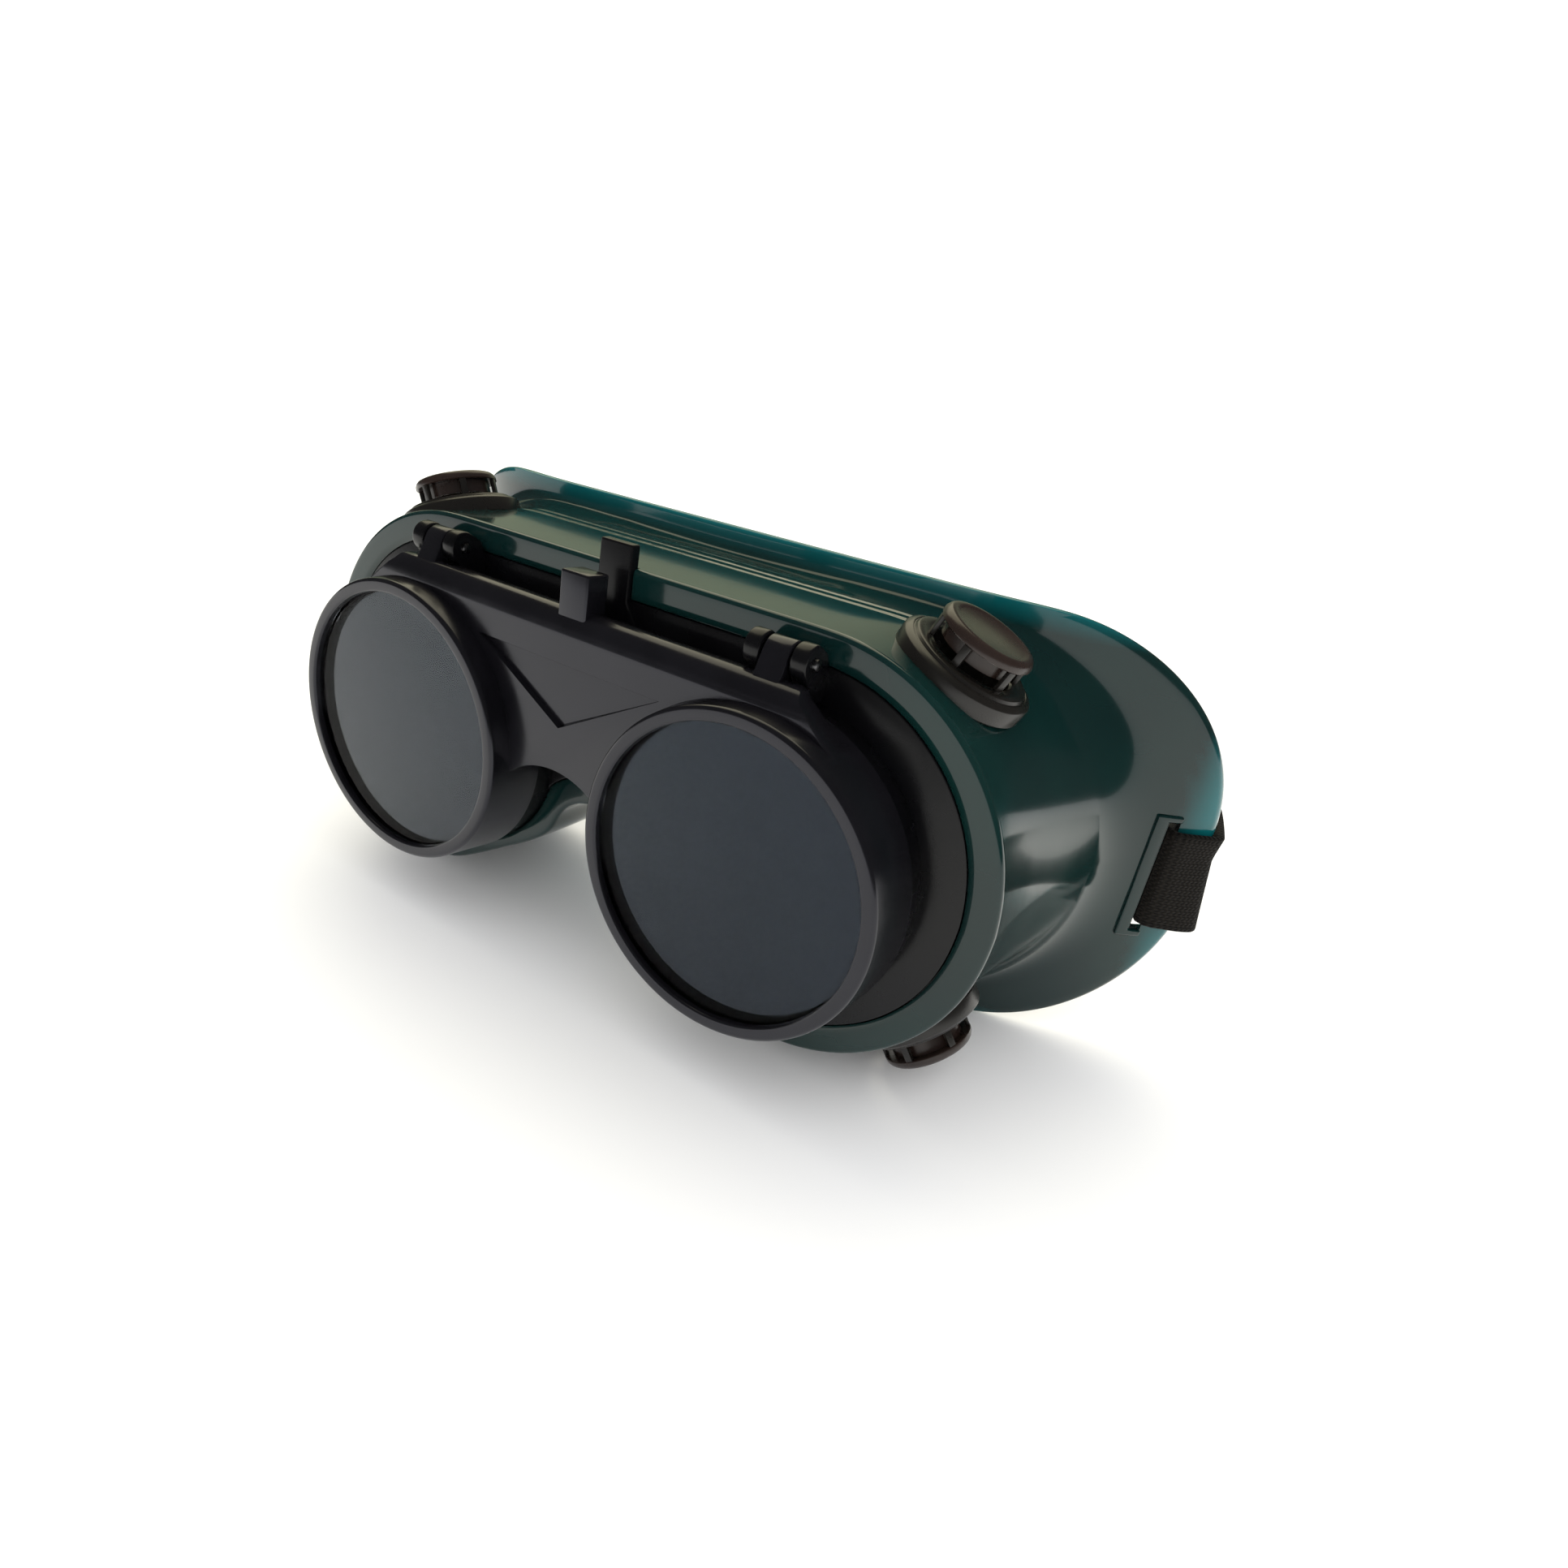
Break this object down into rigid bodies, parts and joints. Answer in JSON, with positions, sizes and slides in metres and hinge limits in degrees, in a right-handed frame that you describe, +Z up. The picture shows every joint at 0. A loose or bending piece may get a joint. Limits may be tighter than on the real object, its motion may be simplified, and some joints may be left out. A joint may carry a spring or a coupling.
{
  "type": "welding goggles",
  "caption": "Cup goggles for gas welding with a hinged flip-up dark lens front over clear safety lenses, indirect vents and an adjustable elastic headband.",
  "frame": {"origin": "midway between the two lens centres, in the plane of the flip-up rims' front faces", "axes": "+X to the wearer's left across the lenses, +Y back towards the face, +Z up"},
  "size_m": [0.2034, 0.1625, 0.083],
  "materials": {
    "cup_pvc": "glossy translucent dark green PVC",
    "frame_plastic": "satin black moulded plastic",
    "vent_plastic": "satin black-brown moulded plastic",
    "cover_glass": "clear polished",
    "clear_glass": "clear polished",
    "shade_glass": "very dark green filter glass",
    "gasket_rubber": "matt",
    "pin_steel": "drawn wire",
    "band_elastic": "woven elastic tape"
  },
  "bodies": {
    "goggle_body": {"cup_shell": "cup_pvc", "lens_carrier": "frame_plastic", "headband": "band_elastic", "clear_lens_left": "clear_glass", "lens_gasket_left": "gasket_rubber", "clear_lens_ring_left": "frame_plastic", "hinge_pin_left": "pin_steel", "clear_lens_right": "clear_glass", "lens_gasket_right": "gasket_rubber", "clear_lens_ring_right": "frame_plastic", "hinge_pin_right": "pin_steel", "vent_base_top_left": "vent_plastic", "vent_cap_top_left": "vent_plastic", "vent_base_top_right": "vent_plastic", "vent_cap_top_right": "vent_plastic", "vent_base_bottom_left": "vent_plastic", "vent_cap_bottom_left": "vent_plastic", "vent_base_bottom_right": "vent_plastic", "vent_cap_bottom_right": "vent_plastic"},
    "flip_front": {"flip_frame": "frame_plastic", "cover_lens_left": "cover_glass", "cover_lens_right": "cover_glass", "shade_lens_left": "shade_glass", "shade_lens_right": "shade_glass", "shade_lens_ring_left": "frame_plastic", "shade_lens_ring_right": "frame_plastic"},
    "slider": {"band_slider": "vent_plastic"}
  },
  "joints": [
    {"name": "flip_hinge", "type": "hinge", "parent": "goggle_body", "child": "flip_front", "pos_m": [0, 0.0103, 0.034], "axis": [-1, 0, 0], "range_deg": [0, 90]},
    {"name": "slider_travel", "type": "slide", "parent": "goggle_body", "child": "slider", "axis": [1, 0, 0], "range_m": [-0.03, 0.02]}
  ]
}
